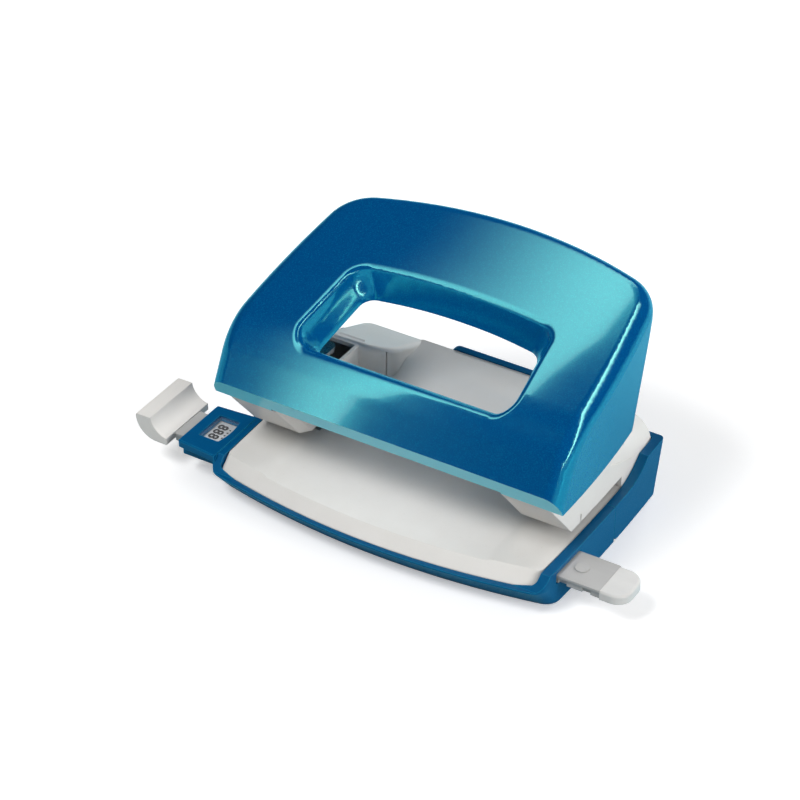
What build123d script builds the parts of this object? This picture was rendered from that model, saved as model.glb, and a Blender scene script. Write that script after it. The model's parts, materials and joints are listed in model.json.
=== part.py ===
from build123d import *
from math import radians, sin, cos, tan
import os

# Mini hole punch for two holes. X runs along the paper edge, +Y away from the paper, +Z up.
# The origin lies on the desk, midway between the two punch axes.

os.makedirs("parts", exist_ok=True)

# Driving sizes, in millimetres
hole_spacing = 80.0
pin_diameter = 5.5
throat_depth = 12.0
table_height = 11.5
slot_height = 3.6
running = 0.05
seam = 0.2
pin_x = hole_spacing / 2
pin_radius = pin_diameter / 2
jaw_height = table_height + slot_height
reach = 0.75 * hole_spacing

# Handle, a pressed steel hood
steel = 1.2
crease_y = -32.0
crease_z = 35.8
lip_drop = 5.2
lip_end_drop = 0.6
lip_lean = 0.5
lip_centre_half = 35.7
apron_angle = 62.0
apron_length = 8.5
brow_radius = 20.0
crown_angle = 14.5
flange_front_half = 54.0
flange_middle_half = 53.5
flange_rear_half = 49.0
rear_flange = 4.2
crease_fillet = 4.6
flange_low_z = 26.3
rear_corner_y = 32.2
rear_middle_y = 40.8
rear_corner_radius = 14.0
opening_front_y = -23.0
opening_rear_y = 7.4
opening_rear_bow = 2.6
opening_front_half = 35.0
opening_rear_half = 31.0
opening_corner = 6.0
opening_wall = 9.3
opening_roll = 2.0

# Pivot, punch pins and springs
pivot_y = -20.5
pivot_z = 27.5
axle_radius = 1.8
ear_radius = 3.1
pin_top = 31.2
pin_tip = jaw_height + 0.2
pin_dome = 5.0
bracket_steel = 1.4
bracket_half = 4.3
ear_steel = 1.0
bracket_end_y = 4.5
frame_inner = 4.6
frame_steel = 1.0
frame_rear_y = 15.6
spring_radius = 4.05
spring_wire = 0.75
spring_turns = 6.0
collar_radius = 3.5
collar_top = 20.5
die_radius = 3.8
die_foot = 8.4
ring_top = 29.2
ring_thickness = 0.6
ring_groove = 0.6
ring_radius = 3.9
washer_thickness = 0.75
washer_radius = 4.4
rivet_radius = 1.1
rivet_x = 3.4
rivet_y = 9.5

# Case
case_mid_half = 53.4
case_end_half = 52.7
case_rear_y = 29.0
case_rear_lean = 0.25
case_front_y = -36.2
case_bow = 6.1
undercut_top = 7.6
undercut_depth = 6.4
rim_height = 11.7
front_rim = 8.1
wing_height = 16.5
wing_start_y = 9.5
wing_end_y = 22.5
side_wall = 2.8
front_wall = 1.4
rear_wall = 2.0
floor = 1.8
flap_y = 3.2
hinge_radius = 1.6
hinge_pin_radius = 0.75
tab_height = 22.5
tab_half = 17.0
boss_radius = 3.6
screw_radius = 1.2

# Upper body
play = 0.15
cover_wall = 1.5
frame_gap = 0.4
jaw_wall = 1.0
jaw_outer_wall = 0.85
block_wall = 3.25
jaw_inner = pin_x - frame_inner - frame_steel - frame_gap - jaw_wall
jaw_chamfer = 2.2
jaw_top = 29.5
jaw_slope = 0.82
nose_wall = 1.95
chin_y = -16.6
bridge_height = 22.1
bridge_run = 9.5
bridge_fall = 4.2
block_half = 24.0
block_front_y = 10.5
block_top = 30.5
block_rear_z = 21.8
block_corner = 8.0
block_round = 1.5
block_shoulder = 9.0
deck_skin = 1.1
ridge_back = 3.9

# Paper guide
bar_y = -22.8
bar_half = 6.15
bar_bottom = 7.2
bar_top = 10.0
bar_right = 65.5
bar_play = 0.15
cap_length = 7.5
tip_x = bar_right + cap_length
stop_half = 10.2
stop_top = 15.5
stop_low = 8.2
stop_gap = 4.2
stop_overlap = 5.8
stop_tenon = 0.9
stop_tenon_z = 9.2
housing_left = -65.0
stop_foot_x = housing_left - stop_gap
bar_left = stop_foot_x - stop_overlap
housing_top = 12.0
window_x = -57.8
window_half_x = 3.7
window_half_y = 5.5
strip_thickness = 0.15


def top_curve(inset=0.0):
    """Foot, bend, brow and crown of the hood's middle section, moved in by inset."""
    a, b = radians(apron_angle), radians(crown_angle)
    foot = (crease_y + inset * sin(a), crease_z - inset * cos(a))
    bend = (foot[0] + apron_length * cos(a), foot[1] + apron_length * sin(a))
    r = brow_radius - inset
    mid = radians((apron_angle + crown_angle) / 2)
    brow = (bend[0] + r * (sin(a) - sin(mid)), bend[1] + r * (cos(mid) - cos(a)))
    crown = (bend[0] + r * (sin(a) - sin(b)), bend[1] + r * (cos(b) - cos(a)))
    return foot, bend, brow, crown


def crown_height(y):
    """Height of the flat crown above a point of the middle section."""
    crown = top_curve()[3]
    return crown[1] + (y - crown[0]) * tan(radians(crown_angle))


def hood(inset, low):
    """Solid under the pressed top surface, every face moved in by inset."""
    foot, bend, brow, crown = top_curve(inset)
    end_y = rear_middle_y + 4
    end = (end_y, crown[1] + (end_y - crown[0]) * tan(radians(crown_angle)))
    lip_inward = Vector(1, lip_lean).normalized()
    apron_inward = Vector(sin(radians(apron_angle)), -cos(radians(apron_angle)))
    corner = (lip_inward + apron_inward) * (inset / (1 + lip_inward.dot(apron_inward)))
    lip_head = (crease_y + corner.X, crease_z + corner.Y)
    lip_low = crease_z - lip_drop - lip_end_drop - low
    lip_foot = (lip_head[0] + (lip_head[1] - lip_low) * lip_lean, lip_low)
    front_half, rear_half = flange_front_half - inset, flange_rear_half - inset
    rear_mid, rear_side = (0, rear_middle_y - inset), (rear_half, rear_corner_y - inset)
    with BuildPart() as body:
        with BuildSketch(Plane.YZ):
            with BuildLine():
                Polyline(crown, end, (end_y, lip_foot[1]), lip_foot, lip_head, bend)
                ThreePointArc(bend, brow, crown)
            make_face()
        extrude(amount=reach, both=True)
        with BuildSketch() as plan:
            with BuildLine():
                Polyline((0, crease_y - 10), (front_half, crease_y - 10), (front_half, crease_y))
                ThreePointArc((front_half, crease_y), (flange_middle_half - inset, -4), rear_side)
                TangentArc(rear_mid, rear_side, tangent=(1, 0))
                mirror(about=Plane.YZ)
            make_face()
            fillet(plan.vertices().filter_by(lambda v: v.Y > 20 and abs(v.X) > 40), rear_corner_radius - inset)
        extrude(amount=90, mode=Mode.INTERSECT)
        sides = body.edges().filter_by(lambda e: e.center().Z > crease_z and abs(e.center().X) > 49)
        fillet(sides.filter_by(lambda e: e.length > 5), crease_fillet - inset)
    return body.part


def opening_plug(grow):
    """Tapered plug of the finger opening, grown outwards by grow."""
    front, rear = opening_front_y - grow, opening_rear_y + grow
    front_half, rear_half = opening_front_half + grow, opening_rear_half + grow
    with BuildPart() as plug:
        with BuildSketch(Plane.XY.offset(crown_height(opening_rear_y) + 0.7)) as plan:
            with BuildLine():
                Polyline((-rear_half, rear), (-front_half, front), (front_half, front), (rear_half, rear))
                ThreePointArc((rear_half, rear), (0, rear + opening_rear_bow), (-rear_half, rear))
            make_face()
            fillet(plan.vertices(), opening_corner + grow)
        extrude(amount=-26, taper=8)
        extrude(plan.sketch, amount=12)
    return plug.part


outer = hood(0, 0)
inner = hood(steel, 6)
with BuildPart() as pressed:
    add(outer)
    add(opening_plug(0), mode=Mode.SUBTRACT)
    low_y, high_y = opening_front_y - 2, opening_rear_y + opening_rear_bow + 2
    mouth = pressed.edges().filter_by(lambda e: abs(e.center().X) < opening_front_half + 2)
    mouth = mouth.filter_by(lambda e: low_y < e.center().Y < high_y)
    fillet(mouth.filter_by(lambda e: e.center().Z > crown_height(e.center().Y) - 2), opening_roll)
opening_ring = (opening_plug(steel) & pressed.part) - Pos(0, 0, -opening_wall) * outer

with BuildPart() as handle:
    add(pressed.part)
    add(inner, mode=Mode.SUBTRACT)
    add(opening_ring)
    # The lip is shallower between the jaws
    with BuildSketch(Plane.XY.offset(crease_z - lip_drop)):
        with Locations((0, crease_y)):
            Rectangle(2 * lip_centre_half, 8)
    extrude(amount=-6, mode=Mode.SUBTRACT)
    # Lower and rear edges of the side flanges
    with BuildSketch(Plane.YZ):
        with BuildLine():
            start = (crease_y - 2, crease_z - lip_drop - lip_end_drop + 0.3)
            ThreePointArc(start, (-12, flange_low_z + 1.3), (5, flange_low_z))
            ThreePointArc((5, flange_low_z), (11.8, 28.2), (15.2, 34))
            rear_foot = crown_height(rear_corner_y) - rear_flange
            Polyline((15.2, 34), (25.0, 56.5), (rear_corner_y, rear_foot), (60, crown_height(60) - rear_flange),
                     (60, 10), (start[0], 10), start)
        make_face()
    extrude(amount=reach, both=True, mode=Mode.SUBTRACT)
handle.part.label = "handle"
export_step(handle.part, "parts/handle.step")

# Lever bracket, punch frame and the turned pieces at each punch axis
foot, bend, brow, crown = top_curve(steel + 0.03)
apron = Vector(cos(radians(apron_angle)), sin(radians(apron_angle)))
away = Vector(apron.Y, -apron.X) * bracket_steel
tab_low = Vector(*foot) + apron * 2.2
tab_high = Vector(*foot) + apron * 7.8
pad_under = pin_top + running
nose_room = (chin_y - jaw_slope * (jaw_top - jaw_height)) + 3.4
spring_foot = jaw_height + frame_steel
washer_foot = ring_top - ring_thickness - running - washer_thickness

for side, axis_x in (("left", -pin_x), ("right", pin_x)):
    with BuildPart() as bracket:
        with BuildSketch(Plane.YZ.offset(axis_x - bracket_half)):
            low_inner, high_inner = tab_low + away, tab_high + away
            Polygon(
                (bracket_end_y, pad_under),
                (nose_room, pad_under),
                (tab_low.X, tab_low.Y),
                (tab_high.X, tab_high.Y),
                (high_inner.X, high_inner.Y),
                (low_inner.X, low_inner.Y),
                (nose_room + 0.6, pad_under + bracket_steel),
                (bracket_end_y, pad_under + bracket_steel),
                align=None,
            )
        extrude(amount=2 * bracket_half)
        with BuildSketch(Plane.YZ.offset(axis_x - bracket_half)) as ear:
            with Locations((pivot_y, pivot_z)):
                Circle(ear_radius)
            with Locations((pivot_y, (pivot_z + pad_under) / 2)):
                Rectangle(2 * ear_radius, pad_under - pivot_z)
        extrude(amount=ear_steel)
        extrude(Pos(2 * bracket_half - ear_steel, 0, 0) * ear.sketch, amount=ear_steel)
        with Locations(Location((axis_x, pivot_y, pivot_z), (0, 90, 0))):
            Cylinder(axle_radius + running, 30, mode=Mode.SUBTRACT)
        ends = bracket.edges().filter_by(Axis.Z).filter_by(lambda e: e.center().Y > bracket_end_y - 0.1)
        fillet(ends, 2.5)
    bracket.part.label = "lever_bracket_" + side
    export_step(bracket.part, "parts/lever_bracket_" + side + ".step")

    frame_half = frame_inner + frame_steel
    jaw_arm_top = jaw_height + frame_steel
    die_arm_top = table_height - seam
    die_arm_low = die_arm_top - frame_steel
    front_y = chin_y + nose_wall + seam
    with BuildPart() as frame:
        with BuildSketch(Plane.YZ.offset(axis_x - frame_half)):
            Polygon(
                (front_y, jaw_height),
                (frame_rear_y, jaw_height),
                (frame_rear_y, 22),
                (-8, 22),
                (-12, 24),
                (-17.2, 28.6),
                (pivot_y - ear_radius, pivot_z),
                align=None,
            )
            with Locations((pivot_y, pivot_z)):
                Circle(ear_radius)
        extrude(amount=2 * frame_half)
        with Locations((axis_x, 0, jaw_arm_top + 10)):
            Box(2 * frame_inner, 80, 20, mode=Mode.SUBTRACT)
        with BuildSketch(Plane.YZ.offset(axis_x - frame_half)):
            Polygon(
                (frame_rear_y, jaw_arm_top),
                (frame_rear_y, die_arm_low),
                (-8, die_arm_low),
                (-8, die_arm_top),
                (frame_rear_y - frame_steel, die_arm_top),
                (frame_rear_y - frame_steel, jaw_arm_top),
                align=None,
            )
        extrude(amount=2 * frame_half)
        with Locations(Location((axis_x, pivot_y, pivot_z), (0, 90, 0))):
            Cylinder(axle_radius + 0.01, 30, mode=Mode.SUBTRACT)
        with Locations((axis_x, 0, jaw_height)):
            Cylinder(collar_radius + 0.02, 8, mode=Mode.SUBTRACT)
        with Locations((axis_x, 0, die_arm_low)):
            Cylinder(die_radius + 0.02, 4, mode=Mode.SUBTRACT)
        with Locations((axis_x - rivet_x, rivet_y, die_arm_low), (axis_x + rivet_x, rivet_y, die_arm_low)):
            Cylinder(rivet_radius + 0.02, 4, mode=Mode.SUBTRACT)
    frame.part.label = "punch_frame_" + side
    export_step(frame.part, "parts/punch_frame_" + side + ".step")

    with BuildPart(Plane((axis_x, 0, jaw_height))) as bush:
        Cylinder(collar_radius, collar_top - jaw_height, align=(Align.CENTER, Align.CENTER, Align.MIN))
        chamfer(bush.faces().sort_by(Axis.Z)[-1].edges(), 0.35)
        Cylinder(pin_radius + running, 40, mode=Mode.SUBTRACT)
    bush.part.label = "guide_bush_" + side
    export_step(bush.part, "parts/guide_bush_" + side + ".step")

    with BuildPart(Plane((axis_x, 0, die_foot))) as die:
        Cylinder(die_radius, die_arm_top - die_foot, align=(Align.CENTER, Align.CENTER, Align.MIN))
        Cylinder(pin_radius + running, 40, mode=Mode.SUBTRACT)
        Cylinder(pin_radius + 0.5, 2.4, mode=Mode.SUBTRACT)
    die.part.label = "die_" + side
    export_step(die.part, "parts/die_" + side + ".step")

    with BuildPart() as pin:
        with BuildSketch(Plane.XZ):
            shoulder = pin_top - pin_dome + (pin_dome**2 - pin_radius**2) ** 0.5
            half_way = pin_top - pin_dome + (pin_dome**2 - pin_radius**2 / 4) ** 0.5
            neck = pin_radius - ring_groove
            neck_low = ring_top - ring_thickness - running
            neck_high = ring_top + running
            with BuildLine():
                Polyline((0, pin_top), (0, pin_tip), (pin_radius, pin_tip), (pin_radius, neck_low), (neck, neck_low))
                Polyline((neck, neck_low), (neck, neck_high), (pin_radius, neck_high), (pin_radius, shoulder))
                ThreePointArc((pin_radius, shoulder), (pin_radius / 2, half_way), (0, pin_top))
            make_face()
        revolve(axis=Axis.Z)
        # The tip is ground to a notch, so that it shears the paper from two sides
        with BuildSketch(Plane.YZ):
            Polygon((-2.1, pin_tip - 0.1), (2.1, pin_tip - 0.1), (0, pin_tip + 1.5), align=None)
        extrude(amount=5, both=True, mode=Mode.SUBTRACT)
    punch = Pos(axis_x, 0, 0) * pin.part
    punch.label = "punch_pin_" + side
    export_step(punch, "parts/punch_pin_" + side + ".step")

    with BuildPart(Plane((axis_x, 0, ring_top - ring_thickness))) as ring:
        Cylinder(ring_radius, ring_thickness, align=(Align.CENTER, Align.CENTER, Align.MIN))
        Cylinder(neck + running, 4, mode=Mode.SUBTRACT)
        with Locations((0, -ring_radius)):
            Box(2.6, 2 * ring_radius, 4, mode=Mode.SUBTRACT)
    ring.part.label = "retaining_ring_" + side
    export_step(ring.part, "parts/retaining_ring_" + side + ".step")

    with BuildPart(Plane((axis_x, 0, washer_foot))) as washer:
        Cylinder(washer_radius, washer_thickness, align=(Align.CENTER, Align.CENTER, Align.MIN))
        Cylinder(pin_radius + 1.5 * running, 4, mode=Mode.SUBTRACT)
    washer.part.label = "washer_" + side
    export_step(washer.part, "parts/washer_" + side + ".step")

    coil_height = washer_foot - spring_foot - spring_wire - 0.02
    with BuildPart() as spring:
        with BuildLine() as coil:
            Helix(coil_height / spring_turns, coil_height, spring_radius)
        with BuildSketch(Plane(coil.line @ 0, z_dir=coil.line % 0)):
            Circle(spring_wire / 2)
        sweep(is_frenet=True)
    turns = Pos(axis_x, 0, spring_foot + spring_wire / 2 + 0.01) * spring.part
    turns.label = "return_spring_" + side
    export_step(turns, "parts/return_spring_" + side + ".step")

    with BuildPart() as axle:
        with Locations(Location((axis_x, pivot_y, pivot_z), (0, 90, 0))):
            Cylinder(axle_radius, 2 * frame_half + 0.3)
        chamfer(axle.edges().filter_by(GeomType.CIRCLE), 0.3)
    axle.part.label = "pivot_axle_" + side
    export_step(axle.part, "parts/pivot_axle_" + side + ".step")

print("spring gap between turns", round(coil_height / spring_turns - spring_wire, 3))


def case_plan(height, side, front, rear):
    """Plan of the case at a height, moved in by its side, front and rear insets."""
    front_y = case_front_y + undercut_depth * max(0.0, 1 - height / undercut_top) + front
    rear_y = case_rear_y + case_rear_lean * height - rear
    end_half, mid_half = case_end_half - side, case_mid_half - side
    middle = (case_front_y + case_rear_y) / 2
    with BuildSketch(Plane.XY.offset(height)) as plan:
        with BuildLine():
            ThreePointArc((-end_half, front_y), (0, front_y - case_bow), (end_half, front_y))
            ThreePointArc((end_half, front_y), (mid_half, middle), (end_half, rear_y))
            Line((end_half, rear_y), (-end_half, rear_y))
            ThreePointArc((-end_half, rear_y), (-mid_half, middle), (-end_half, front_y))
        make_face()
        fillet(plan.vertices().group_by(Axis.Y)[0], 4.5 - side)
        fillet(plan.vertices().group_by(Axis.Y)[-1], max(0.6, 1.6 - rear))
    return plan.sketch.face()


def case_block(low, high, side=0.0, front=0.0, rear=0.0):
    """Solid between two heights inside the case plan, moved in by the three insets."""
    levels = [low, high]
    if low < undercut_top < high:
        levels = [low, undercut_top, high]
    plans = [case_plan(level, side, front, rear) for level in levels]
    with BuildPart() as block:
        for under, over in zip(plans, plans[1:]):
            loft(sections=[under, over])
    return block.part


# The tray and the chip flap share one moulded outline, parted across the case
channel_half = bar_half + bar_play
channel_low = bar_bottom - bar_play
channel_top = bar_top + 0.4
hinge_y = flap_y + hinge_radius
shell = case_block(0, tab_height) - case_block(floor, tab_height + 4, side_wall, front_wall, rear_wall)

with BuildPart() as tab:
    with BuildSketch(Plane.XZ.offset(-24)) as face:
        Trapezoid(2 * tab_half + 5, 2 * (tab_height - wing_height), 70)
        fillet(face.vertices().group_by(Axis.Y)[-1], 2.5)
    extrude(amount=-16)
tab_keep = Pos(0, 0, wing_height) * tab.part

with BuildPart() as rim:
    with BuildSketch(Plane.YZ):
        with BuildLine():
            start, end = (wing_start_y, rim_height), (wing_end_y, wing_height)
            TangentArc(start, end, tangent=(1, 0))
            Polyline(end, (60, wing_height), (60, 60), (-60, 60), (-60, front_rim), (case_front_y, front_rim))
            Polyline((case_front_y, front_rim), (case_front_y + ridge_back, rim_height), start)
        make_face()
    extrude(amount=reach, both=True)
open_shell = shell - (rim.part - tab_keep)

with BuildPart() as tray:
    add(open_shell)
    with Locations((0, flap_y - seam, 0)):
        Box(200, 100, 100, align=(Align.CENTER, Align.MIN, Align.CENTER), mode=Mode.SUBTRACT)
    # Cross ribs that carry the paper guide
    with BuildSketch(Plane.XY.offset(floor)):
        with Locations((-45, bar_y), (-15, bar_y), (15, bar_y), (45, bar_y)):
            Rectangle(1.4, 2 * channel_half + 2.4)
    extrude(amount=channel_top - 0.1 - floor)
    # Screw posts
    with Locations((-22, -8, floor), (22, -8, floor)):
        Cylinder(boss_radius, 6.2, align=(Align.CENTER, Align.CENTER, Align.MIN))
    # Guide housing with its window
    with BuildSketch(Plane.XY.offset(channel_low - 1.3)):
        with Locations(((housing_left - 51.5) / 2, bar_y)):
            Rectangle(-51.5 - housing_left, 2 * channel_half + 3.6)
    extrude(amount=4)
    with BuildSketch(Plane.XY.offset(9.8)) as plate:
        Polygon((-52, -34.5), (housing_left, -33.4), (housing_left, -13.8), (-52, -12.7), align=None)
        fillet(plate.vertices().group_by(Axis.X)[0], 0.8)
    extrude(amount=housing_top - 9.8)
    top_edges = tray.faces().filter_by(lambda f: abs(f.center().Z - housing_top) < 0.01).edges()
    chamfer(top_edges.filter_by(lambda e: e.center().X < -53.5), 0.35)
    with Locations((housing_left - 5, bar_y, channel_low)):
        across = 2 * (-housing_left) + 10
        Box(across, 2 * channel_half, channel_top - channel_low, mode=Mode.SUBTRACT,
            align=(Align.MIN, Align.CENTER, Align.MIN))
    # Window with a ledge for its lens
    with BuildSketch(Plane.XY.offset(housing_top)) as window:
        with BuildLine():
            left_x, right_x = window_x - window_half_x, window_x + window_half_x
            low_y, high_y = bar_y - window_half_y, bar_y + window_half_y
            Polyline((right_x - 0.7, low_y), (left_x, low_y), (left_x, high_y), (right_x - 0.7, high_y))
            ThreePointArc((right_x - 0.7, low_y), (right_x, bar_y), (right_x - 0.7, high_y))
        make_face()
        fillet(window.vertices(), 0.6)
    extrude(amount=-1.3, mode=Mode.SUBTRACT)
    extrude(offset(window.sketch, -0.5, mode=Mode.PRIVATE), amount=-3, mode=Mode.SUBTRACT)
    # Lugs of the chip flap's hinge
    with BuildSketch(Plane.YZ, mode=Mode.PRIVATE) as lug:
        with Locations((hinge_y, hinge_radius)):
            Circle(hinge_radius)
        with Locations((hinge_y - 1.7, hinge_radius)):
            Rectangle(3.4, 2 * hinge_radius)
    for lug_x in (-36, 30):
        extrude(Pos(lug_x, 0, 0) * lug.sketch, amount=6)
    with Locations(Location((0, hinge_y, hinge_radius), (0, 90, 0))):
        Cylinder(hinge_pin_radius + 0.02, 90, mode=Mode.SUBTRACT)
    with Locations((-22, -8, -0.1), (22, -8, -0.1)):
        Cylinder(screw_radius + 0.1, 9, align=(Align.CENTER, Align.CENTER, Align.MIN), mode=Mode.SUBTRACT)
        Cylinder(2.8, 1.7, align=(Align.CENTER, Align.CENTER, Align.MIN), mode=Mode.SUBTRACT)
tray.part.label = "tray"
export_step(tray.part, "parts/tray.step")

with BuildPart() as lens:
    with BuildSketch(Plane.XY.offset(housing_top - 1.3)):
        add(offset(window.sketch, -0.03, mode=Mode.PRIVATE).moved(Location((0, 0, -1.3))))
    extrude(amount=0.7)
lens.part.label = "window_lens"
export_step(lens.part, "parts/window_lens.step")

with BuildPart() as flap:
    add(open_shell)
    with Locations((0, flap_y, 0)):
        Box(200, 100, 100, align=(Align.CENTER, Align.MAX, Align.CENTER), mode=Mode.SUBTRACT)
    # Hinge barrels beside the tray's lugs, and notches for the lugs
    with BuildSketch(Plane.YZ, mode=Mode.PRIVATE) as barrel:
        with Locations((hinge_y, hinge_radius)):
            Circle(hinge_radius)
        with Locations((hinge_y + 1.6, hinge_radius)):
            Rectangle(3.2, 2 * hinge_radius)
    for barrel_x in (-41.4, -29.6, 24.6, 36.4):
        extrude(Pos(barrel_x, 0, 0) * barrel.sketch, amount=5)
    with Locations((-33, flap_y - 1, 2), (33, flap_y - 1, 2)):
        Box(6.4, 4.8, 6, align=(Align.CENTER, Align.MIN, Align.CENTER), mode=Mode.SUBTRACT)
    with Locations(Location((0, hinge_y, hinge_radius), (0, 90, 0))):
        Cylinder(hinge_pin_radius + running, 90, mode=Mode.SUBTRACT)
    # The lower front edge is rounded about the hinge, so that it turns clear of the tray
    with BuildSketch(Plane.YZ) as corner:
        with Locations((hinge_y, hinge_radius)):
            Rectangle(2 * hinge_radius, 2 * hinge_radius, align=(Align.MAX, Align.MAX))
            Circle(hinge_radius - 0.02, mode=Mode.SUBTRACT)
    extrude(amount=reach, both=True, mode=Mode.SUBTRACT)
flap.part.label = "chip_flap"
export_step(flap.part, "parts/chip_flap.step")

for side, mid_x in (("left", -33), ("right", 33)):
    with BuildPart() as hinge_pin:
        with Locations(Location((mid_x, hinge_y, hinge_radius), (0, 90, 0))):
            Cylinder(hinge_pin_radius, 17.6)
        chamfer(hinge_pin.edges().filter_by(GeomType.CIRCLE), 0.2)
    hinge_pin.part.label = "hinge_pin_" + side
    export_step(hinge_pin.part, "parts/hinge_pin_" + side + ".step")

# Deck: the paper table, with its front edge chamfered down to the tray's rim
pad_low = 8.0
fit = (side_wall + play, front_wall + play, rear_wall + play)
ridge = [
    case_plan(front_rim + 0.1, *fit),
    case_plan(table_height, fit[0], fit[1] + ridge_back, fit[2]),
]
inner_fit = (fit[0] + cover_wall, fit[1] + cover_wall, fit[2] + cover_wall)
hollow = case_block(5.0, table_height - deck_skin, inner_fit[0], inner_fit[1] + 2.2, inner_fit[2])
deck_rear = case_rear_y - 0.4
with BuildPart() as deck:
    add(case_block(channel_low - 0.8, front_rim + 0.1, *fit))
    loft(sections=ridge)
    add(hollow, mode=Mode.SUBTRACT)
    with Locations((-pin_x, 2.5, pad_low), (pin_x, 2.5, pad_low)):
        Box(20, 27, table_height - pad_low, align=(Align.CENTER, Align.CENTER, Align.MIN))
    with Locations((-22, -8, 8.05), (22, -8, 8.05)):
        Cylinder(boss_radius - 0.4, table_height - 0.5 - 8.05, align=(Align.CENTER, Align.CENTER, Align.MIN))
        Cylinder(screw_radius + 0.02, 2.6, align=(Align.CENTER, Align.CENTER, Align.MIN), mode=Mode.SUBTRACT)
    with Locations((0, deck_rear, 0)):
        Box(200, 40, 60, align=(Align.CENTER, Align.MIN, Align.CENTER), mode=Mode.SUBTRACT)
    # Shallow middle field between the two jaws
    with BuildSketch(Plane.XZ.offset(60)):
        Polygon((-36.2, table_height), (-34.4, table_height - 0.3), (34.4, table_height - 0.3),
                (36.2, table_height), (36.2, 20), (-36.2, 20), align=None)
    extrude(amount=-60 - throat_depth, mode=Mode.SUBTRACT)
    with Locations((0, bar_y, channel_low - 5)):
        Box(200, 2 * channel_half, channel_top + 5 - channel_low, mode=Mode.SUBTRACT,
            align=(Align.CENTER, Align.CENTER, Align.MIN))
    # Seats of the frames' lower arms, their dies and rivets
    for axis_x in (-pin_x, pin_x):
        with Locations((axis_x, (frame_rear_y - 8) / 2, die_arm_low - 0.02)):
            Box(2 * frame_half + 0.3, frame_rear_y + 8.3, 6, mode=Mode.SUBTRACT,
                align=(Align.CENTER, Align.CENTER, Align.MIN))
        with Locations((axis_x, 0, pad_low)):
            Cylinder(die_radius + 0.1, 8, mode=Mode.SUBTRACT)
        with Locations((axis_x - rivet_x, rivet_y, pad_low), (axis_x + rivet_x, rivet_y, pad_low)):
            Cylinder(rivet_radius + 0.05, 8, mode=Mode.SUBTRACT)
deck.part.label = "deck"
export_step(deck.part, "parts/deck.step")

with BuildPart() as rivets:
    for axis_x in (-pin_x, pin_x):
        with Locations((axis_x - rivet_x, rivet_y, die_arm_top), (axis_x + rivet_x, rivet_y, die_arm_top)):
            Cylinder(rivet_radius, die_arm_top - pad_low + 0.5, align=(Align.CENTER, Align.CENTER, Align.MAX))
        with Locations((axis_x - rivet_x, rivet_y, pad_low - 0.02), (axis_x + rivet_x, rivet_y, pad_low - 0.02)):
            Cylinder(2 * rivet_radius, 0.9, align=(Align.CENTER, Align.CENTER, Align.MAX))
rivets.part.label = "frame_rivets"
export_step(rivets.part, "parts/frame_rivets.step")

with BuildPart() as screws:
    with Locations((-22, -8, 0.2), (22, -8, 0.2)):
        Cylinder(2.5, 1.3, align=(Align.CENTER, Align.CENTER, Align.MIN))
        Cylinder(screw_radius, 10, align=(Align.CENTER, Align.CENTER, Align.MIN))
    with Locations((-22, -8, 0.2), (22, -8, 0.2)):
        Box(3.4, 0.7, 1.2, mode=Mode.SUBTRACT)
        Box(0.7, 3.4, 1.2, mode=Mode.SUBTRACT)
screws.part.label = "case_screws"
export_step(screws.part, "parts/case_screws.step")

# Jaw cover: two jaws, two rear blocks and the bridge between them
cover_low = table_height + running


def nose(height, inset=0.0):
    """Y of the jaws' sloping front at a height."""
    return chin_y - jaw_slope * (height - jaw_height) + inset


cover_rear = case_rear_y - rear_wall - play
rear_low = cover_rear + case_rear_lean * cover_low
rear_top = cover_rear + case_rear_lean * block_rear_z
jaws = []
for left_x, inner_x in ((-reach, -jaw_inner), (jaw_inner, jaw_inner)):
    with BuildPart() as jaw:
        with BuildSketch(Plane.YZ.offset(left_x)):
            Polygon((nose(jaw_height), jaw_height), (nose(jaw_top), jaw_top), (throat_depth + 2, jaw_top),
                    (throat_depth + 2, jaw_height), align=None)
        extrude(amount=reach - jaw_inner)
        leading = jaw.faces().sort_by(Axis.Y)[0].edges().filter_by(
            lambda e: abs(e.center().X - inner_x) < 0.1)
        chamfer(leading, jaw_chamfer)
    jaws.append(jaw.part)
block_rise = case_rear_y - rear_wall - play + case_rear_lean * jaw_height
blocks = []
for left_x, inner_x in ((-reach, -block_half), (block_half, block_half)):
    with BuildPart() as block:
        with BuildSketch(Plane.YZ.offset(left_x)):
            Polygon((block_front_y, jaw_height), (block_front_y, block_top), (rear_top, block_rear_z),
                    (block_rise, jaw_height), align=None)
        extrude(amount=reach - block_half)
        upright = block.edges().filter_by(Axis.Z).group_by(Axis.Y)[0]
        fillet(upright.sort_by(lambda e: abs(e.center().X))[0], block_corner)
        roof = block.faces().sort_by(Axis.Z)[-1]
        shown = roof.edges().filter_by(lambda e: abs(e.center().X) < reach - 1 and e.center().Y < rear_top - 1)
        fillet(shown, block_round)
    blocks.append(block.part)

# Rounded shoulders between the blocks' roofs and their outer sides
roof_run, roof_fall = rear_top - block_front_y, block_top - block_rear_z
roof_start = (case_end_half - fit[0] + 0.3, block_front_y - roof_run / 10, block_top + roof_fall / 10)
with BuildPart() as shoulders:
    with BuildSketch(Plane(roof_start, x_dir=(1, 0, 0), z_dir=(0, roof_run, -roof_fall))):
        with Locations((-block_shoulder, block_shoulder)):
            Rectangle(block_shoulder + 2, block_shoulder + 2, align=(Align.MIN, Align.MAX))
            Circle(block_shoulder, mode=Mode.SUBTRACT)
    extrude(amount=1.3 * roof_run)
    mirror(about=Plane.YZ)

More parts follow.
